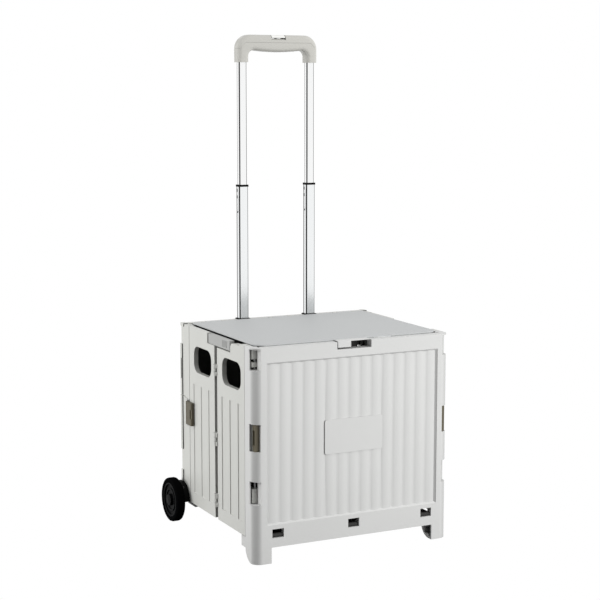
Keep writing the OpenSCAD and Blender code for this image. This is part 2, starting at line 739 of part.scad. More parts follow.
module lower_detents() {
  color([0.5, 0.5, 0.5]) placed() at_tubes() translate([0, 0, lower_bottom + 30]) {
    rotate([90, 0, 0]) cylinder(r = 3, h = lower_size[1] / 2, $fn = 32);
    translate([0, -lower_size[1] / 2 + tube_wall + 0.9, 0]) rotate([90, 0, 0])
      cylinder(r = 4, h = 0.9, $fn = 32);
  }
}

module upper_tubes() {
  color([0.82, 0.83, 0.85]) placed() at_tubes() difference() {
    tube(upper_size, upper_bottom, grip_leg_low + 20);
    translate([0, 0, upper_bottom + 28]) rotate([90, 0, 0]) cylinder(r = 2.05, h = 20, $fn = 32);
  }
}

module upper_guides() {
  color([0.15, 0.15, 0.15]) placed() at_tubes() difference() {
    translate([0, 0, upper_bottom]) linear_extrude(guide_h)
      rounded_square(upper_size[0] - 2 * tube_wall, upper_size[1] - 2 * tube_wall, 1.5);
    translate([0, 0, upper_bottom - 1]) cylinder(r = 3, h = guide_h + 2, $fn = 32);
  }
}

module upper_detents() {
  color([0.5, 0.5, 0.5]) placed() at_tubes() translate([0, 0, upper_bottom + 28]) {
    rotate([90, 0, 0]) cylinder(r = 2, h = upper_size[1] / 2, $fn = 32);
    translate([0, -upper_size[1] / 2 + tube_wall + 0.9, 0]) rotate([90, 0, 0])
      cylinder(r = 3.2, h = 0.9, $fn = 32);
  }
}

rod_low = upper_bottom + 34;
spring_len = 16.3;
bar_t = 4;
rod_high = button_low - button_flange - spring_len - bar_t;

module release_rods() {
  color([0.6, 0.6, 0.6]) placed() at_tubes()
    translate([0, 0, rod_low]) cylinder(r = 2, h = rod_high - rod_low, $fn = 32);
}

module release_bar() {
  color([0.3, 0.3, 0.3]) placed()
    box([-tube_x - 4, tube_y - 4, rod_high], [tube_x + 4, tube_y + 4, rod_high + bar_t]);
}

// Outline of the grip seen from the front: a bar with two legs and round outer corners
module grip_outline(inset) {
  top = grip_top - inset;
  low = grip_leg_low + inset;
  out = grip_half - inset;
  r = 26 - inset;
  bar_low = grip_top - grip_bar_h + inset;
  difference() {
    union() {
      translate([-out, low]) square([2 * out, top - r - low]);
      translate([-out + r, low]) square([2 * (out - r), top - low]);
      for (side = [-1, 1]) translate([side * (out - r), top - r]) circle(r = r, $fn = 64);
    }
    leg_in = grip_leg_in + inset;
    fill = 12;
    difference() {
      union() {
        translate([-leg_in, low - 1]) square([2 * leg_in, bar_low - fill - low + 1]);
        translate([-leg_in + fill, low - 1]) square([2 * (leg_in - fill), bar_low - low + 1]);
        for (side = [-1, 1]) translate([side * (leg_in - fill), bar_low - fill])
          circle(r = fill, $fn = 48);
      }
      // Underside of the bar bows down to fill the palm
      chord = leg_in - fill;
      bow_r = (chord * chord + grip_sag * grip_sag) / (2 * grip_sag);
      translate([0, bar_low - grip_sag + bow_r]) circle(r = bow_r, $fn = 128);
    }
  }
}

module grip_body() {
  difference() {
    translate([0, tube_y + grip_depth / 2, 0]) rotate([90, 0, 0])
      linear_extrude(grip_depth) grip_outline(0);
    // Hollow inside
    translate([0, tube_y + grip_depth / 2 - 3.5, 0]) rotate([90, 0, 0])
      linear_extrude(grip_depth - 7) intersection() {
        grip_outline(3.5);
        translate([-200, grip_leg_low + 22]) square([400, 200]);
      }
    at_tubes() translate([0, 0, grip_leg_low - 1]) linear_extrude(30)
      rounded_square(upper_size[0], upper_size[1], 2.5);
    // Opening for the release button
    box([-button_half - 0.4, tube_y - 8.4, grip_top - 8], [button_half + 0.4, tube_y + 8.4, grip_top + 1]);
  }
}

module grip_top_shell() {
  color([0.72, 0.72, 0.69]) placed() intersection() {
    grip_body();
    box([-150, tube_y - 40, grip_leg_low - 5], [150, tube_y, grip_top + 5]);
  }
}

module grip_lower_shell() {
  color([0.72, 0.72, 0.69]) placed() difference() {
    intersection() {
      grip_body();
      box([-150, tube_y, grip_leg_low - 5], [150, tube_y + 40, grip_top + 5]);
    }
    at_tubes() translate([0, grip_depth / 2 - screw_t, grip_leg_low + 14])
      rotate([-90, 0, 0]) cylinder(r = 2.7, h = 5, $fn = 32);
  }
}

module grip_screws() {
  color([0.4, 0.4, 0.4]) placed() at_tubes() translate([0, grip_depth / 2 - screw_t, grip_leg_low + 14])
    rotate([-90, 0, 0]) cylinder(r = 2.6, h = screw_t - 0.3, $fn = 32);
}

module release_button() {
  low = button_low;
  color([0.86, 0.86, 0.85]) placed() {
    box([-button_half, tube_y - 8, low], [button_half, tube_y + 8, grip_top - 0.5]);
    box([-button_half - 3, tube_y - 9.5, low - button_flange], [button_half + 3, tube_y + 9.5, low]);
  }
}

module button_spring() {
  color([0.7, 0.7, 0.7]) placed() translate([0, tube_y, rod_high + bar_t]) difference() {
    cylinder(r = 3, h = spring_len, $fn = 32);
    translate([0, 0, -1]) cylinder(r = 2.2, h = 40, $fn = 32);
  }
}

// ---- Wheels ----

module wheel_bracket() {
  difference() {
    union() {
      intersection() {
        rod_x(half_w, half_w + bracket_t, axle_y, axle_z, bracket_r);
        box([half_w - 1, 0, skirt_z], [half_w + 20, crate_d + 5, axle_z + bracket_r + 1]);
      }
      rod_x(half_w, half_w + bracket_t, axle_y, axle_z, 13);
    }
    rod_x(half_w - 1, half_w + 20, axle_y, axle_z, axle_r + 0.05);
    // Clear of the frame's rear strip
    box([half_w - 1, crate_d - 6.2, skirt_z], [half_w + strip_out + 0.3, crate_d + 6, rim_z]);
    for (dz = [-20, 0])
      rod_x(half_w + bracket_t - 3, half_w + 20, crate_d - 24 - dz / 2, axle_z + 28 + dz, 3.05);
  }
}
module left_wheel_bracket() { color([0.1, 0.1, 0.1]) placed() mirror([1, 0, 0]) wheel_bracket(); }
module right_wheel_bracket() { color([0.1, 0.1, 0.1]) placed() wheel_bracket(); }

module bracket_screws() {
  color([0.5, 0.5, 0.5]) placed() both_sides() for (dz = [-20, 0])
    rod_x(half_w + bracket_t - 3, half_w + bracket_t - 0.5, crate_d - 24 - dz / 2, axle_z + 28 + dz, 3);
}

module axle() {
  rod_x(half_w - 2, wheel_in + tyre_w - 4, axle_y, axle_z, axle_r);
}
module left_axle() { color([0.6, 0.6, 0.6]) placed() mirror([1, 0, 0]) axle(); }
module right_axle() { color([0.6, 0.6, 0.6]) placed() axle(); }

// A ring turned about the wheel's axis from an outline of [radius, x] points
module turned(points) {
  translate([wheel_mid, axle_y, axle_z]) rotate([0, 90, 0]) rotate_extrude($fn = 96) polygon(points);
}

module tyre() {
  w = tyre_w / 2;
  turned([[rim_r, -w + 2], [wheel_r - 4, -w], [wheel_r - 1, -w + 2], [wheel_r, -w + 5],
          [wheel_r, w - 5], [wheel_r - 1, w - 2], [wheel_r - 4, w], [rim_r, w - 2]]);
}

module hub() {
  w = tyre_w / 2;
  turned([[hub_bore, -w + 1], [11, -w + 1], [11, -3], [rim_r - 4, -3], [rim_r - 4, -w + 2],
          [rim_r, -w + 2], [rim_r, w - 2], [rim_r - 4, w - 2], [rim_r - 4, 5], [24, 5],
          [24, 7], [20, 7], [20, 5], [12, 5], [12, w - 1], [hub_bore, w - 4.5]]);
}

module hub_cap() {
  w = tyre_w / 2;
  difference() {
    turned([[0, w - 3], [0, w], [9, w], [11, w - 1], [12, w - 1 + eps], [12, w + 0.4], [0, w + 1.4]]);
    turned([[0, w - 4], [0, w - 1], [3, w - 1], [3, w - 4]]);
  }
}

module left_tyre() { color([0.07, 0.07, 0.07]) placed() mirror([1, 0, 0]) tyre(); }
module right_tyre() { color([0.07, 0.07, 0.07]) placed() tyre(); }
module left_hub() { color([0.1, 0.1, 0.1]) placed() mirror([1, 0, 0]) hub(); }
module right_hub() { color([0.1, 0.1, 0.1]) placed() hub(); }
module left_hub_cap() { color([0.12, 0.12, 0.12]) placed() mirror([1, 0, 0]) hub_cap(); }
module right_hub_cap() { color([0.12, 0.12, 0.12]) placed() hub_cap(); }

// ---- Side latches across the rear seam ----

module latch() {
  plate_in = half_w + 0.6;
  plate_out = half_w + 0.6 + latch_t;
  difference() {
    union() {
      translate([0, 0, latch_low]) linear_extrude(latch_high - latch_low)
        polygon([[plate_in, latch_front], [plate_out - 2, latch_front], [plate_out, latch_front + 2],
                 [plate_out, latch_y], [plate_out - 4, latch_y + 3.4], [plate_in + 1.6, latch_y + 3.4],
                 [plate_in, latch_y + 1.5]]);
      post(latch_pin_x, latch_y, latch_low, latch_high, 3.4);
    }
    post(latch_pin_x, latch_y, latch_low - 1, latch_high + 1, 1.5 + run_gap);
    // Finger hollow at the free end
    box([plate_out - 1.5, latch_front - 1, latch_low + 14],
        [plate_out + 1, latch_front + 7, latch_high - 14]);
  }
}
module left_latch() { color([0.35, 0.33, 0.27]) placed() mirror([1, 0, 0]) latch(); }
module right_latch() { color([0.35, 0.33, 0.27]) placed() latch(); }

module latch_pins() {
  color([0.6, 0.6, 0.6]) placed() both_sides() {
    post(latch_pin_x, latch_y, latch_low - 3, latch_high + 3, 1.5);
    for (z = [latch_low - 3, latch_high + 0.6])
      box([half_w, latch_y - 2, z], [latch_pin_x, latch_y + 2, z + 2.4]);
  }
}

back_frame();
rear_hinge_pins();
socket_tubes();
socket_bushes();
socket_plugs();
left_wheel_bracket();
right_wheel_bracket();
left_axle();
right_axle();
bracket_screws();
latch_pins();
lid_hinge_pin();
back_cover();
left_rear_wall();
left_front_wall();
right_rear_wall();
right_front_wall();
left_mid_pins();
right_mid_pins();
left_slider();
right_slider();
front_panel();
label_plate();
front_hinge_pins();
latch_keepers();
floor_pins();
foot_pads();
floor_panel();
lid();
lid_tab();
lower_tubes();
lower_collars();
lower_guides();
lower_detents();
upper_tubes();
upper_guides();
upper_detents();
release_rods();
release_bar();
grip_top_shell();
grip_lower_shell();
grip_screws();
release_button();
button_spring();
left_tyre();
left_hub();
left_hub_cap();
right_tyre();
right_hub();
right_hub_cap();
left_latch();
right_latch();
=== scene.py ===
import math

import bmesh
import bpy
from mathutils import Matrix, Vector


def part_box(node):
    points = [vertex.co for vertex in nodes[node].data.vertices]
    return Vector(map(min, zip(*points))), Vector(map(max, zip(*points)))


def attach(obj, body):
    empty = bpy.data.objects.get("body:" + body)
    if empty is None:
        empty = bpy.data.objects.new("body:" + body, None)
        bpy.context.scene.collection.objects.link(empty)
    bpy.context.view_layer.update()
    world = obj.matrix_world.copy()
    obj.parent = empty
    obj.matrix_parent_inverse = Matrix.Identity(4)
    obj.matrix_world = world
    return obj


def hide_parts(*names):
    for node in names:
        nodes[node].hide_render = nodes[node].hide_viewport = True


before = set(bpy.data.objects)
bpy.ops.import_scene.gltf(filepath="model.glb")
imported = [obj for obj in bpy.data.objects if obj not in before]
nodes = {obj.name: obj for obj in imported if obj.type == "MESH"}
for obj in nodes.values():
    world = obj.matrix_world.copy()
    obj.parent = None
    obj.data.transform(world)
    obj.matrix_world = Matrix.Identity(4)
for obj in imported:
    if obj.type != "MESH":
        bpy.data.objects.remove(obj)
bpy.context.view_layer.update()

scene = bpy.context.scene
scene.view_settings.view_transform = "Standard"

camera_data = bpy.data.cameras.new("camera")
camera_data.lens = 91.5
camera_data.sensor_width = 36.0
camera = bpy.data.objects.new("camera", camera_data)
scene.collection.objects.link(camera)
camera.location = (-1.3505, -2.7006, 0.8804)
camera_turn = math.radians(-26.28)
camera_tilt = math.radians(7.86)
camera.rotation_euler = (math.radians(90) - camera_tilt, 0.0, camera_turn)
scene.camera = camera

world = bpy.data.worlds.new("white_room")
world.use_nodes = True
world.node_tree.nodes["Background"].inputs["Color"].default_value = (1.0, 1.0, 1.0, 1.0)
world.node_tree.nodes["Background"].inputs["Strength"].default_value = 1.0
scene.world = world


def soft_box(name, place, target, width, power):
    """A square area light at place that faces target."""
    data = bpy.data.lights.new(name, "AREA")
    data.size = width
    data.energy = power
    light = bpy.data.objects.new(name, data)
    light.location = place
    aim = Vector(target) - Vector(place)
    light.rotation_euler = aim.to_track_quat("-Z", "Y").to_euler()
    light.visible_camera = False
    light.visible_glossy = False
    scene.collection.objects.link(light)


soft_box("front_right_soft_box", (1.9, -3.2, 1.3), (0, 0, 0.35), 1.8, 132)
soft_box("rear_left_soft_box", (-3.0, 0.9, 0.9), (0, 0, 0.25), 1.4, 66)

black_felt = bpy.data.materials.new("black_felt")
black_felt.use_nodes = True
felt_shader = black_felt.node_tree.nodes["Principled BSDF"]
felt_shader.inputs["Base Color"].default_value = (0.004, 0.004, 0.004, 1)
felt_shader.inputs["Roughness"].default_value = 1.0


def black_flag(name, corners):
    """A black card between four corners, hidden from the camera itself."""
    mesh = bpy.data.meshes.new(name)
    mesh.from_pydata(corners, [], [(0, 1, 2, 3)])
    mesh.materials.append(black_felt)
    flag = bpy.data.objects.new(name, mesh)
    flag.visible_camera = False
    scene.collection.objects.link(flag)


black_flag("front_left_flag", [(-1.5, -0.8, -0.6), (-0.35, -1.75, -0.6),
                               (-0.35, -1.75, 1.3), (-1.5, -0.8, 1.3)])
black_flag("rear_flag", [(-0.95, 3.0, -0.5), (-0.10, 3.0, -0.5),
                         (-0.10, 3.0, 2.5), (-0.95, 3.0, 2.5)])
black_flag("floor_flag", [(-0.9, -0.9, -0.35), (0.9, -0.9, -0.35),
                          (0.9, 0.9, -0.35), (-0.9, 0.9, -0.35)])

# ---------------------------------------------------------------------------
# Back frame: one large polypropylene moulding with the rear posts, a ribbed skin and two
# channels for the handle. It is ejected from a spark-eroded mould, so its faces carry a
# fine even grain and every edge is slightly rounded.
# ---------------------------------------------------------------------------


# Painted shade: the tone that faces on the inner side of the crate are darkened to, standing in for
# the shade inside the closed crate.
inner_shade_tone = 0.10


def add_node(tree, kind, **inputs):
    """A shader node with its inputs set by name."""
    made = tree.nodes.new(kind)
    for name, value in inputs.items():
        made.inputs[name.replace("_", " ")].default_value = value
    return made


def maths(tree, operation, first, second=None):
    """A maths node on one or two sockets, or on a socket and a number."""
    made = tree.nodes.new("ShaderNodeMath")
    made.operation = operation
    tree.links.new(first, made.inputs[0])
    if isinstance(second, float):
        made.inputs[1].default_value = second
    elif second is not None:
        tree.links.new(second, made.inputs[1])
    return made.outputs["Value"]


def map_range(tree, source, to_min, to_max, from_min=0.0, from_max=1.0):
    """Maps a socket from one range to another."""
    made = tree.nodes.new("ShaderNodeMapRange")
    made.inputs["From Min"].default_value = from_min
    made.inputs["From Max"].default_value = from_max
    made.inputs["To Min"].default_value = to_min
    made.inputs["To Max"].default_value = to_max
    tree.links.new(source, made.inputs["Value"])
    return made.outputs["Result"]


def scaled(tree, colour, factor):
    """A colour socket, or a plain colour, times a factor socket."""
    made = tree.nodes.new("ShaderNodeVectorMath")
    made.operation = "SCALE"
    if isinstance(colour, tuple):
        made.inputs[0].default_value = colour
    else:
        tree.links.new(colour, made.inputs[0])
    tree.links.new(factor, made.inputs["Scale"])
    return made.outputs["Vector"]


def along_axis(tree, socket, axis):
    """How far a vector socket reaches along an axis."""
    made = tree.nodes.new("ShaderNodeVectorMath")
    made.operation = "DOT_PRODUCT"
    made.inputs[1].default_value = axis
    tree.links.new(socket, made.inputs[0])
    return made.outputs["Value"]


def upright_corner(tree, place):
    """The X and Y parts of the normal, and how far a face turns between them."""
    split = tree.nodes.new("ShaderNodeSeparateXYZ")
    tree.links.new(place.outputs["Normal"], split.inputs["Vector"])
    across = maths(tree, "MULTIPLY", split.outputs["X"], split.outputs["Y"])
    return split, maths(tree, "ABSOLUTE", across)


def moulded_plastic(name, colour, rough=0.42, grain=0.10, mottle=0.03, grain_size=1500.0,
                    inside_shade=None, shine=0.5, corner=1.0):
    """Injection-moulded plastic: fine spark grain, slow flow marks and a faintly uneven tone.

    The inside argument is an axis and a reach for painted shade: faces that look back across the
    crate along that axis, from further out than the reach, are darkened as the shaded inner side.
    corner is the tone of painted shade on rounded upright corners, standing in for the light
    falling off round them.
    """
    material = bpy.data.materials.new(name)
    material.use_nodes = True
    tree = material.node_tree
    shader = tree.nodes["Principled BSDF"]
    shader.inputs["IOR"].default_value = 1.49
    shader.inputs["Specular IOR Level"].default_value = shine
    place = tree.nodes.new("ShaderNodeTexCoord")
    flow = add_node(tree, "ShaderNodeTexNoise", Scale=9.0, Detail=3.0, Roughness=0.5)
    tree.links.new(place.outputs["Object"], flow.inputs["Vector"])
    shade = scaled(tree, colour, map_range(tree, flow.outputs["Fac"], 1.0 - mottle, 1.0 + mottle))
    # Painted shade: rounded upright corners are darkened towards the corner tone, standing in for the
    # light falling off round them.
    if corner < 1.0:
        _, turned = upright_corner(tree, place)
        shade = scaled(tree, shade, map_range(tree, turned, 1.0, corner, 0.12, 0.48))
    # Painted shade: faces on the inner side of the crate are darkened towards the inner shade tone.
    if inside_shade is not None:
        axis, reach = inside_shade
        back = maths(tree, "MULTIPLY", along_axis(tree, place.outputs["Object"], axis),
                     along_axis(tree, place.outputs["Normal"], axis))
        shade = scaled(tree, shade, map_range(tree, back, inner_shade_tone, 1.0, -reach - 0.02, -reach))
    tree.links.new(shade, shader.inputs["Base Color"])
    spark = add_node(tree, "ShaderNodeTexNoise", Scale=grain_size, Detail=2.0, Roughness=0.6)
    tree.links.new(place.outputs["Object"], spark.inputs["Vector"])
    gloss = map_range(tree, flow.outputs["Fac"], rough - 0.06, rough + 0.06)
    tree.links.new(gloss, shader.inputs["Roughness"])
    bump = add_node(tree, "ShaderNodeBump", Strength=grain, Distance=0.0002)
    tree.links.new(spark.outputs["Fac"], bump.inputs["Height"])
    tree.links.new(bump.outputs["Normal"], shader.inputs["Normal"])
    return material


def dress(node, material, edge=0.0006):
    """Gives a CAD node its finish and rounds its edges by a moulder's small radius."""
    part = nodes[node]
    part.data.materials.clear()
    part.data.materials.append(material)
    for face in part.data.polygons:
        face.material_index = 0
    if not edge:
        return
    weld = part.modifiers.new("weld", "WELD")
    weld.merge_threshold = 0.00001
    bevel = part.modifiers.new("edge", "BEVEL")
    bevel.width = edge
    bevel.segments = 2
    bevel.limit_method = "ANGLE"
    bevel.angle_limit = math.radians(38)
    bevel.use_clamp_overlap = True
    for face in part.data.polygons:
        face.use_smooth = True
    smooth = part.modifiers.new("faces", "WEIGHTED_NORMAL")
    smooth.weight = 90
    smooth.keep_sharp = False


body_tone = (0.455, 0.458, 0.435)
# The frame's inner faces get painted shade.
frame_grey = moulded_plastic("frame_grey_plastic", body_tone, inside_shade=((0, 1, 0), 0.09))
dress("back_frame", frame_grey)
dress("back_cover", frame_grey, 0.0004)


# ---------------------------------------------------------------------------
# Pins, rods and screws: bright zinc-plated mild steel wire, cut to length and pushed into
# the mouldings, and small cross-head screws.
# ---------------------------------------------------------------------------


def plated_steel(name, colour, rough):
    """Plated steel with slightly cloudy plating."""
    material = bpy.data.materials.new(name)
    material.use_nodes = True
    tree = material.node_tree
    shader = tree.nodes["Principled BSDF"]
    shader.inputs["Metallic"].default_value = 1.0
    place = tree.nodes.new("ShaderNodeTexCoord")
    cloud = add_node(tree, "ShaderNodeTexNoise", Scale=160.0, Detail=4.0)
    tree.links.new(place.outputs["Object"], cloud.inputs["Vector"])
    ramp = tree.nodes.new("ShaderNodeValToRGB")
    ramp.color_ramp.elements[0].color = (*[c * 0.82 for c in colour], 1)
    ramp.color_ramp.elements[1].color = (*colour, 1)
    tree.links.new(cloud.outputs["Fac"], ramp.inputs["Fac"])
    tree.links.new(ramp.outputs["Color"], shader.inputs["Base Color"])
    gloss = map_range(tree, cloud.outputs["Fac"], rough - 0.06, rough + 0.08)
    tree.links.new(gloss, shader.inputs["Roughness"])
    return material


zinc = plated_steel("zinc_plated_steel", (0.62, 0.62, 0.63), 0.32)
for pin in ("rear_hinge_pins", "front_hinge_pins", "left_mid_pins", "right_mid_pins", "latch_pins",
            "lid_hinge_pin", "floor_pins", "left_axle", "right_axle", "grip_screws",
            "release_rods", "button_spring", "lower_detents", "upper_detents"):
    dress(pin, zinc, 0)

# ---------------------------------------------------------------------------
# Handle sockets: the fixed outer tubes, drawn aluminium, with black nylon bushes pressed
# into their mouths and plugs in their feet.
# ---------------------------------------------------------------------------


def bright_aluminium(name, colour, rough, front_edge, rear_edge, corner_reflection_tone=0.05):
    """Bright anodised extrusion: fine die lines down its length, and painted dark reflections on its
    corners and side edges.

    front_edge and rear_edge are how far from the middle of a side face its painted dark reflection
    bands start.
    """
    material = bpy.data.materials.new(name)
    material.use_nodes = True
    tree = material.node_tree
    shader = tree.nodes["Principled BSDF"]
    shader.inputs["Metallic"].default_value = 1.0
    place = tree.nodes.new("ShaderNodeTexCoord")
    squeeze = tree.nodes.new("ShaderNodeMapping")
    squeeze.inputs["Scale"].default_value = (900.0, 900.0, 3.0)
    tree.links.new(place.outputs["Object"], squeeze.inputs["Vector"])
    lines = add_node(tree, "ShaderNodeTexNoise", Scale=1.0, Detail=3.0)
    tree.links.new(squeeze.outputs["Vector"], lines.inputs["Vector"])
    ramp = tree.nodes.new("ShaderNodeValToRGB")
    ramp.color_ramp.elements[0].color = (*[c * 0.90 for c in colour], 1)
    ramp.color_ramp.elements[1].color = (*colour, 1)
    tree.links.new(lines.outputs["Fac"], ramp.inputs["Fac"])
    # Painted reflection: the rounded corners and a band along each side face are darkened, standing
    # in for dark surroundings reflected in the metal.
    split, turned = upright_corner(tree, place)
    round_part = map_range(tree, turned, 0.0, 1.0, 0.12, 0.34)
    where = tree.nodes.new("ShaderNodeSeparateXYZ")
    tree.links.new(place.outputs["Object"], where.inputs["Vector"])
    off_middle = maths(tree, "ABSOLUTE", maths(tree, "SUBTRACT", where.outputs["Y"],
                                               tube_y + (rear_edge - front_edge) / 2))
    reach = (front_edge + rear_edge) / 2
    band = map_range(tree, off_middle, 0.0, 1.0, reach - 0.0002, reach + 0.0002)
    on_side = map_range(tree, maths(tree, "ABSOLUTE", split.outputs["X"]), 0.0, 1.0, 0.35, 0.6)
    dark = maths(tree, "MAXIMUM", maths(tree, "MULTIPLY", band, on_side), round_part)
    reflection_darkened = scaled(tree, ramp.outputs["Color"], map_range(tree, dark, 1.0, corner_reflection_tone))
    tree.links.new(reflection_darkened, shader.inputs["Base Color"])
    gloss = map_range(tree, lines.outputs["Fac"], rough - 0.05, rough + 0.05)
    tree.links.new(gloss, shader.inputs["Roughness"])
    bump = add_node(tree, "ShaderNodeBump", Strength=0.06, Distance=0.0001)
    tree.links.new(lines.outputs["Fac"], bump.inputs["Height"])
    tree.links.new(bump.outputs["Normal"], shader.inputs["Normal"])
    return material


tube_low, tube_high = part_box("upper_tubes")
tube_y = (tube_low.y + tube_high.y) / 2
# The last two numbers place the painted dark reflection bands on the socket tubes.
socket_aluminium = bright_aluminium("socket_aluminium", (0.80, 0.81, 0.81), 0.2, 0.0080, 0.0080)
black_plastic = moulded_plastic("black_nylon", (0.003, 0.003, 0.003), 0.5, 0.12, 0.1, shine=0.06)
dress("socket_tubes", socket_aluminium, 0.0003)
for bush in ("socket_bushes", "socket_plugs", "lower_collars", "lower_guides", "upper_guides",
             "release_bar"):
    dress(bush, black_plastic, 0.0004)

# ---------------------------------------------------------------------------
# Wheel brackets: black nylon half discs screwed to the sides of the rear posts. Each
# carries a steel stub axle.
# ---------------------------------------------------------------------------
dress("left_wheel_bracket", black_plastic, 0.0008)
dress("right_wheel_bracket", black_plastic, 0.0008)
blacked_steel = plated_steel("blacked_steel", (0.05, 0.05, 0.052), 0.4)
dress("bracket_screws", blacked_steel, 0)

# ---------------------------------------------------------------------------
# Wheels: a black polypropylene hub, turned smooth with raised rings, inside a soft moulded
# tyre. A snap-in cap hides the end of the axle.
# ---------------------------------------------------------------------------
rubber = moulded_plastic("tyre_rubber", (0.0025, 0.0025, 0.0027), 0.8, 0.5, 0.12, 700.0, shine=0.0)
hub_black = moulded_plastic("hub_black_plastic", (0.003, 0.003, 0.0032), 0.45, 0.12, 0.08, shine=0.03)
for side in ("left", "right"):
    dress(side + "_tyre", rubber, 0.0008)
    dress(side + "_hub", hub_black, 0.0006)
    dress(side + "_hub_cap", hub_black, 0.0004)

# ---------------------------------------------------------------------------
# Half walls: four folding side panels in the same grey polypropylene, with hand holes,
# shallow flutes outside and ribs inside. Their lugs run on steel pins.
# ---------------------------------------------------------------------------
# The walls' inner faces get painted shade.
wall_grey = moulded_plastic("wall_grey_plastic", body_tone, inside_shade=((1, 0, 0), 0.165))
for wall in ("left_rear_wall", "left_front_wall", "right_rear_wall", "right_front_wall"):
    dress(wall, wall_grey, 0.0005)

# ---------------------------------------------------------------------------
# Seam sliders: darker grey bars that slide along the rim and stiffen the seam between the
# two half walls while the crate stands open. Each runs in a groove moulded in the walls.
# ---------------------------------------------------------------------------
slider_grey = moulded_plastic("slider_grey_plastic", (0.30, 0.303, 0.295), 0.40)
dress("left_slider", slider_grey, 0.0005)
dress("right_slider", slider_grey, 0.0005)

# ---------------------------------------------------------------------------
# Front panel: a single moulding with the front posts and feet, a softly fluted skin and a
# finger notch in its top rail. The plain label plate is stuck on its middle.
# ---------------------------------------------------------------------------
front_tone = (0.49, 0.492, 0.485)
# The front panel gets painted shade on its inner faces and on its rounded post corners.
panel_grey_shaded = moulded_plastic("panel_grey_shaded_plastic", front_tone, 0.40, inside_shade=((0, 1, 0), 0.152),
                              corner=0.74)
front_grey = moulded_plastic("front_grey_plastic", front_tone, 0.40)
dress("front_panel", panel_grey_shaded)
dress("label_plate", front_grey, 0.0006)
pad_rubber = moulded_plastic("foot_pad_rubber", (0.02, 0.02, 0.02), 0.7, 0.4, 0.1, 700.0)
dress("foot_pads", pad_rubber, 0)

# ---------------------------------------------------------------------------
# Latches and keepers: taupe plastic hooks on the rear posts and the matching keepers in
# the front posts' middle pockets.
# ---------------------------------------------------------------------------
taupe = moulded_plastic("taupe_plastic", (0.085, 0.074, 0.050), 0.42, shine=0.3)
for latch in ("left_latch", "right_latch", "latch_keepers"):
    dress(latch, taupe, 0.0007)

# ---------------------------------------------------------------------------
# Floor panel: grey polypropylene with a ribbed underside, hung on three short pins along
# the foot of the front panel.
# ---------------------------------------------------------------------------
# Painted shade: the floor panel's near-black tone stands in for the shade inside the closed crate.
floor_grey = moulded_plastic("floor_grey_plastic", (0.030, 0.030, 0.029), shine=0.2)
dress("floor_panel", floor_grey, 0.0005)

# ---------------------------------------------------------------------------
# Lid: a flat sheet moulding in a slightly darker, finely textured grey, with three hinge
# barrels at the back and a pale finger tab at the front.
# ---------------------------------------------------------------------------
# The lid's underside gets painted shade.
lid_grey = moulded_plastic("lid_grey_plastic", (0.40, 0.410, 0.412), 0.60, 0.22, 0.02, 900.0,
                           inside_shade=((0, 0, 1), 0.2), shine=0.6)
dress("lid", lid_grey, 0.0005)
dress("lid_tab", front_grey, 0.0003)

# ---------------------------------------------------------------------------
# Handle tubes: two stages of bright aluminium extrusion that slide one inside the other.
# ---------------------------------------------------------------------------
# The last two numbers place the painted dark reflection bands on each tube stage.
lower_aluminium = bright_aluminium("lower_tube_aluminium", (0.93, 0.945, 0.95), 0.18, 0.0052, 0.0028)
upper_aluminium = bright_aluminium("upper_tube_aluminium", (0.97, 0.975, 0.975), 0.16, 0.0042, 0.0032)
dress("lower_tubes", lower_aluminium, 0.0003)
dress("upper_tubes", upper_aluminium, 0.0003)

# ---------------------------------------------------------------------------
# Catch pads: black nylon noses of the spring catches, two on the outer side of each lower
# tube below its collar, and a plug in the stop hole under them. They snap in from inside.
# ---------------------------------------------------------------------------
collar_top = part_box("lower_collars")[1].z
upper_half = 0.0085
lower_half = 0.010
tube_reach = tube_high.x - upper_half
pad_proud = 0.00006
pad_depth = 0.0010
# Each pad: drop below the collar, length, and its two edges from the tube's middle
pad_places = ((0.0114, 0.006, 0.0006, 0.0062), (0.0250, 0.006, 0.0006, 0.0062),
              (0.0560, 0.0034, -0.0017, 0.0017))
pads = bmesh.new()
for tube_x in (-tube_reach, tube_reach):
    for drop, length, y_from, y_to in pad_places:
        made = bmesh.ops.create_cube(pads, size=1.0)["verts"]
        face_x = tube_x - lower_half
        for corner in made:
            corner.co = (face_x - pad_proud if corner.co.x < 0 else face_x + pad_depth,
                         tube_y + (y_from if corner.co.y < 0 else y_to),
                         collar_top - drop + (-length / 2 if corner.co.z < 0 else length / 2))
bmesh.ops.bevel(pads, geom=pads.edges, offset=0.00005, segments=1, affect="EDGES")
pad_mesh = bpy.data.meshes.new("catch_pads")
pads.to_mesh(pad_mesh)
pads.free()
pad_mesh.materials.append(black_plastic)
catch_pads = bpy.data.objects.new("catch_pads", pad_mesh)
scene.collection.objects.link(catch_pads)
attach(catch_pads, "handle_lower")

# ---------------------------------------------------------------------------
# Grip: two warm grey half shells screwed together round the tops of the upper tubes, with
# a pale button let into the middle of the bar.
# ---------------------------------------------------------------------------
grip_grey = moulded_plastic("grip_grey_plastic", (0.385, 0.380, 0.355), 0.30)
button_grey = moulded_plastic("button_pale_plastic", (0.62, 0.62, 0.60), 0.34)

grip_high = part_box("grip_top_shell")[1]
half, top, low = grip_high.x, grip_high.z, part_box("grip_lower_shell")[0].z
middle_y = tube_y
grip_depth = 0.029
grip_round = 0.0085
leg_inner = 0.065
bar_low = top - 0.031
crown_r = 0.028
crook_r = 0.012
sag = 0.0033
sag_steps = 16
leg_spare = 0.012
press = 0.004
button_skin = 0.0018
button_gap = 0.0008
button_sink = 0.0002
button_half = 0.0150
button_drop = 0.0056
well_half = 0.0164
well_drop = 0.0102
chamber_half = 0.0098
bar_chamber = 0.058
seam_drop = 0.0155
seam_gap = 0.0003
beyond = 0.03


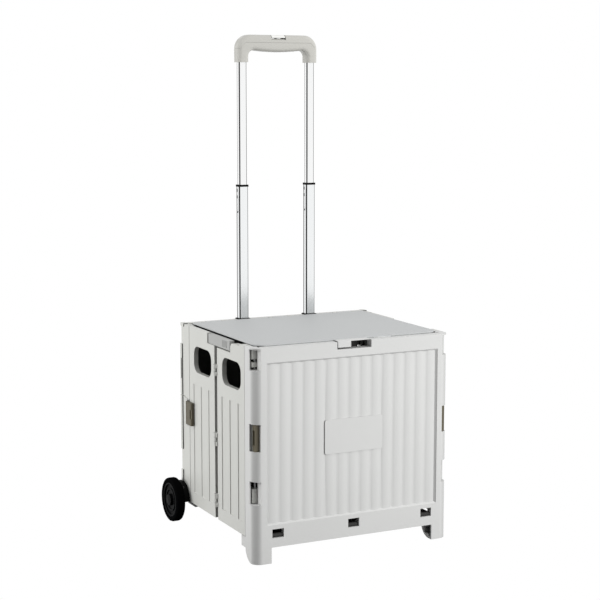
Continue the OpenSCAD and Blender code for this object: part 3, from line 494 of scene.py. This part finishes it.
def arc(x, z, radius, start, end, steps=10):
    """Points round part of a circle, by angle in degrees."""
    turns = [math.radians(start + (end - start) * i / steps) for i in range(steps + 1)]
    return [(x + radius * math.cos(a), z + radius * math.sin(a)) for a in turns]


def solid(name, outline, depth, rounding, middle_y):
    """A slab in the outline's shape with rounded edges, standing upright across the crate."""
    curve = bpy.data.curves.new(name, "CURVE")
    curve.dimensions = "2D"
    curve.fill_mode = "BOTH"
    curve.extrude = depth / 2 - rounding
    curve.bevel_depth = rounding
    curve.bevel_resolution = 6
    curve.offset = -rounding
    spline = curve.splines.new("POLY")
    spline.points.add(len(outline) - 1)
    for point, (x, z) in zip(spline.points, outline):
        point.co = (x, z, 0, 1)
    spline.use_cyclic_u = True
    drawn = bpy.data.objects.new(name + "_outline", curve)
    scene.collection.objects.link(drawn)
    graph = bpy.context.evaluated_depsgraph_get()
    mesh = bpy.data.meshes.new_from_object(drawn.evaluated_get(graph))
    bpy.data.objects.remove(drawn)
    mesh.transform(Matrix.Translation((0, middle_y, 0)) @ Matrix.Rotation(math.radians(90), 4, "X"))
    shell = bmesh.new()
    shell.from_mesh(mesh)
    bmesh.ops.remove_doubles(shell, verts=shell.verts, dist=0.00002)
    bmesh.ops.recalc_face_normals(shell, faces=shell.faces)
    shell.to_mesh(mesh)
    shell.free()
    mesh.name = name
    made = bpy.data.objects.new(name, mesh)
    scene.collection.objects.link(made)
    return made


def cut(piece, operation, tool):
    """Cuts a piece with a tool, for good, and leaves the tool where it is."""
    step = piece.modifiers.new("cut", "BOOLEAN")
    step.operation = operation
    step.solver = "EXACT"
    step.object = tool
    graph = bpy.context.evaluated_depsgraph_get()
    mesh = bpy.data.meshes.new_from_object(piece.evaluated_get(graph))
    piece.modifiers.clear()
    piece.data = mesh


def block(low, high):
    """A plain block, used only to cut with."""
    mesh = bpy.data.meshes.new("cutter")
    form = bmesh.new()
    bmesh.ops.create_cube(form, size=1.0)
    for corner in form.verts:
        corner.co = [low[k] if corner.co[k] < 0 else high[k] for k in range(3)]
    form.to_mesh(mesh)
    form.free()
    tool = bpy.data.objects.new("cutter", mesh)
    scene.collection.objects.link(tool)
    return tool


def finish_piece(piece, material):
    """Puts the finish on a made piece, with soft faces and crisp cut edges."""
    piece.data.materials.clear()
    piece.data.materials.append(material)
    for face in piece.data.polygons:
        face.material_index = 0
        face.use_smooth = True
    piece.data.set_sharp_from_angle(angle=math.radians(32))


bow = [(x / sag_steps * (leg_inner - crook_r), sag * (1 - (x / sag_steps) ** 2))
       for x in range(sag_steps - 1, -sag_steps, -1)]
grip_form = (arc(half - crown_r, top - crown_r, crown_r, 0, 90)
             + arc(-half + crown_r, top - crown_r, crown_r, 90, 180)
             + [(-half, low - leg_spare), (-leg_inner, low - leg_spare)]
             + arc(-leg_inner + crook_r, bar_low - crook_r, crook_r, 180, 90)
             + [(-x, bar_low - drop) for x, drop in bow]
             + arc(leg_inner - crook_r, bar_low - crook_r, crook_r, 90, 0)
             + [(leg_inner, low - leg_spare), (half, low - leg_spare)])
whole = solid("grip", grip_form, grip_depth, grip_round, middle_y)
leg_ends = block((-0.2, middle_y - 0.05, low - 0.05), (0.2, middle_y + 0.05, low))
cut(whole, "DIFFERENCE", leg_ends)
core = bpy.data.objects.new("core", whole.data.copy())
scene.collection.objects.link(core)
seam = [(-0.3, low - 0.02), (-0.3, top - crown_r), (-0.0845, top - crown_r),
        (-0.073, top - seam_drop), (0.073, top - seam_drop), (0.0845, top - crown_r),
        (0.3, top - crown_r), (0.3, low - 0.02)]
lower_form = solid("lower_form", seam, 0.2, 0.00001, middle_y)
chamber = block((-bar_chamber, middle_y - chamber_half, bar_low + 0.003),
                (bar_chamber, middle_y + chamber_half, top - 0.004))
button_well = block((-well_half, middle_y - beyond, top - well_drop),
                    (well_half, middle_y + beyond, top + 0.01))
button_form = block((-button_half, middle_y - beyond, top - button_drop),
                    (button_half, middle_y + beyond, top + 0.01))

upper_shell = bpy.data.objects.new("grip_upper_moulding", whole.data.copy())
lower_shell = bpy.data.objects.new("grip_lower_moulding", whole.data.copy())
push_button = bpy.data.objects.new("grip_button", whole.data.copy())
for piece in (upper_shell, lower_shell, push_button):
    scene.collection.objects.link(piece)
core.location.z = -(press + button_skin + button_gap)
cut(button_well, "DIFFERENCE", core)
cut(upper_shell, "DIFFERENCE", lower_form)
cut(upper_shell, "DIFFERENCE", button_well)
cut(upper_shell, "DIFFERENCE", chamber)
lower_form.location.z = -seam_gap
cut(lower_shell, "INTERSECT", lower_form)
cut(lower_shell, "DIFFERENCE", chamber)
core.location.z = -button_skin
cut(push_button, "INTERSECT", button_form)
cut(push_button, "DIFFERENCE", core)
push_button.data.transform(Matrix.Translation((0, 0, -button_sink)))
for tool in (whole, core, leg_ends, lower_form, chamber, button_well, button_form):
    bpy.data.objects.remove(tool)
finish_piece(upper_shell, grip_grey)
finish_piece(lower_shell, grip_grey)
finish_piece(push_button, button_grey)
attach(upper_shell, "handle_upper")
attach(lower_shell, "handle_upper")
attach(push_button, "button")
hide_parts("grip_top_shell")
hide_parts("grip_lower_shell")
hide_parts("release_button")
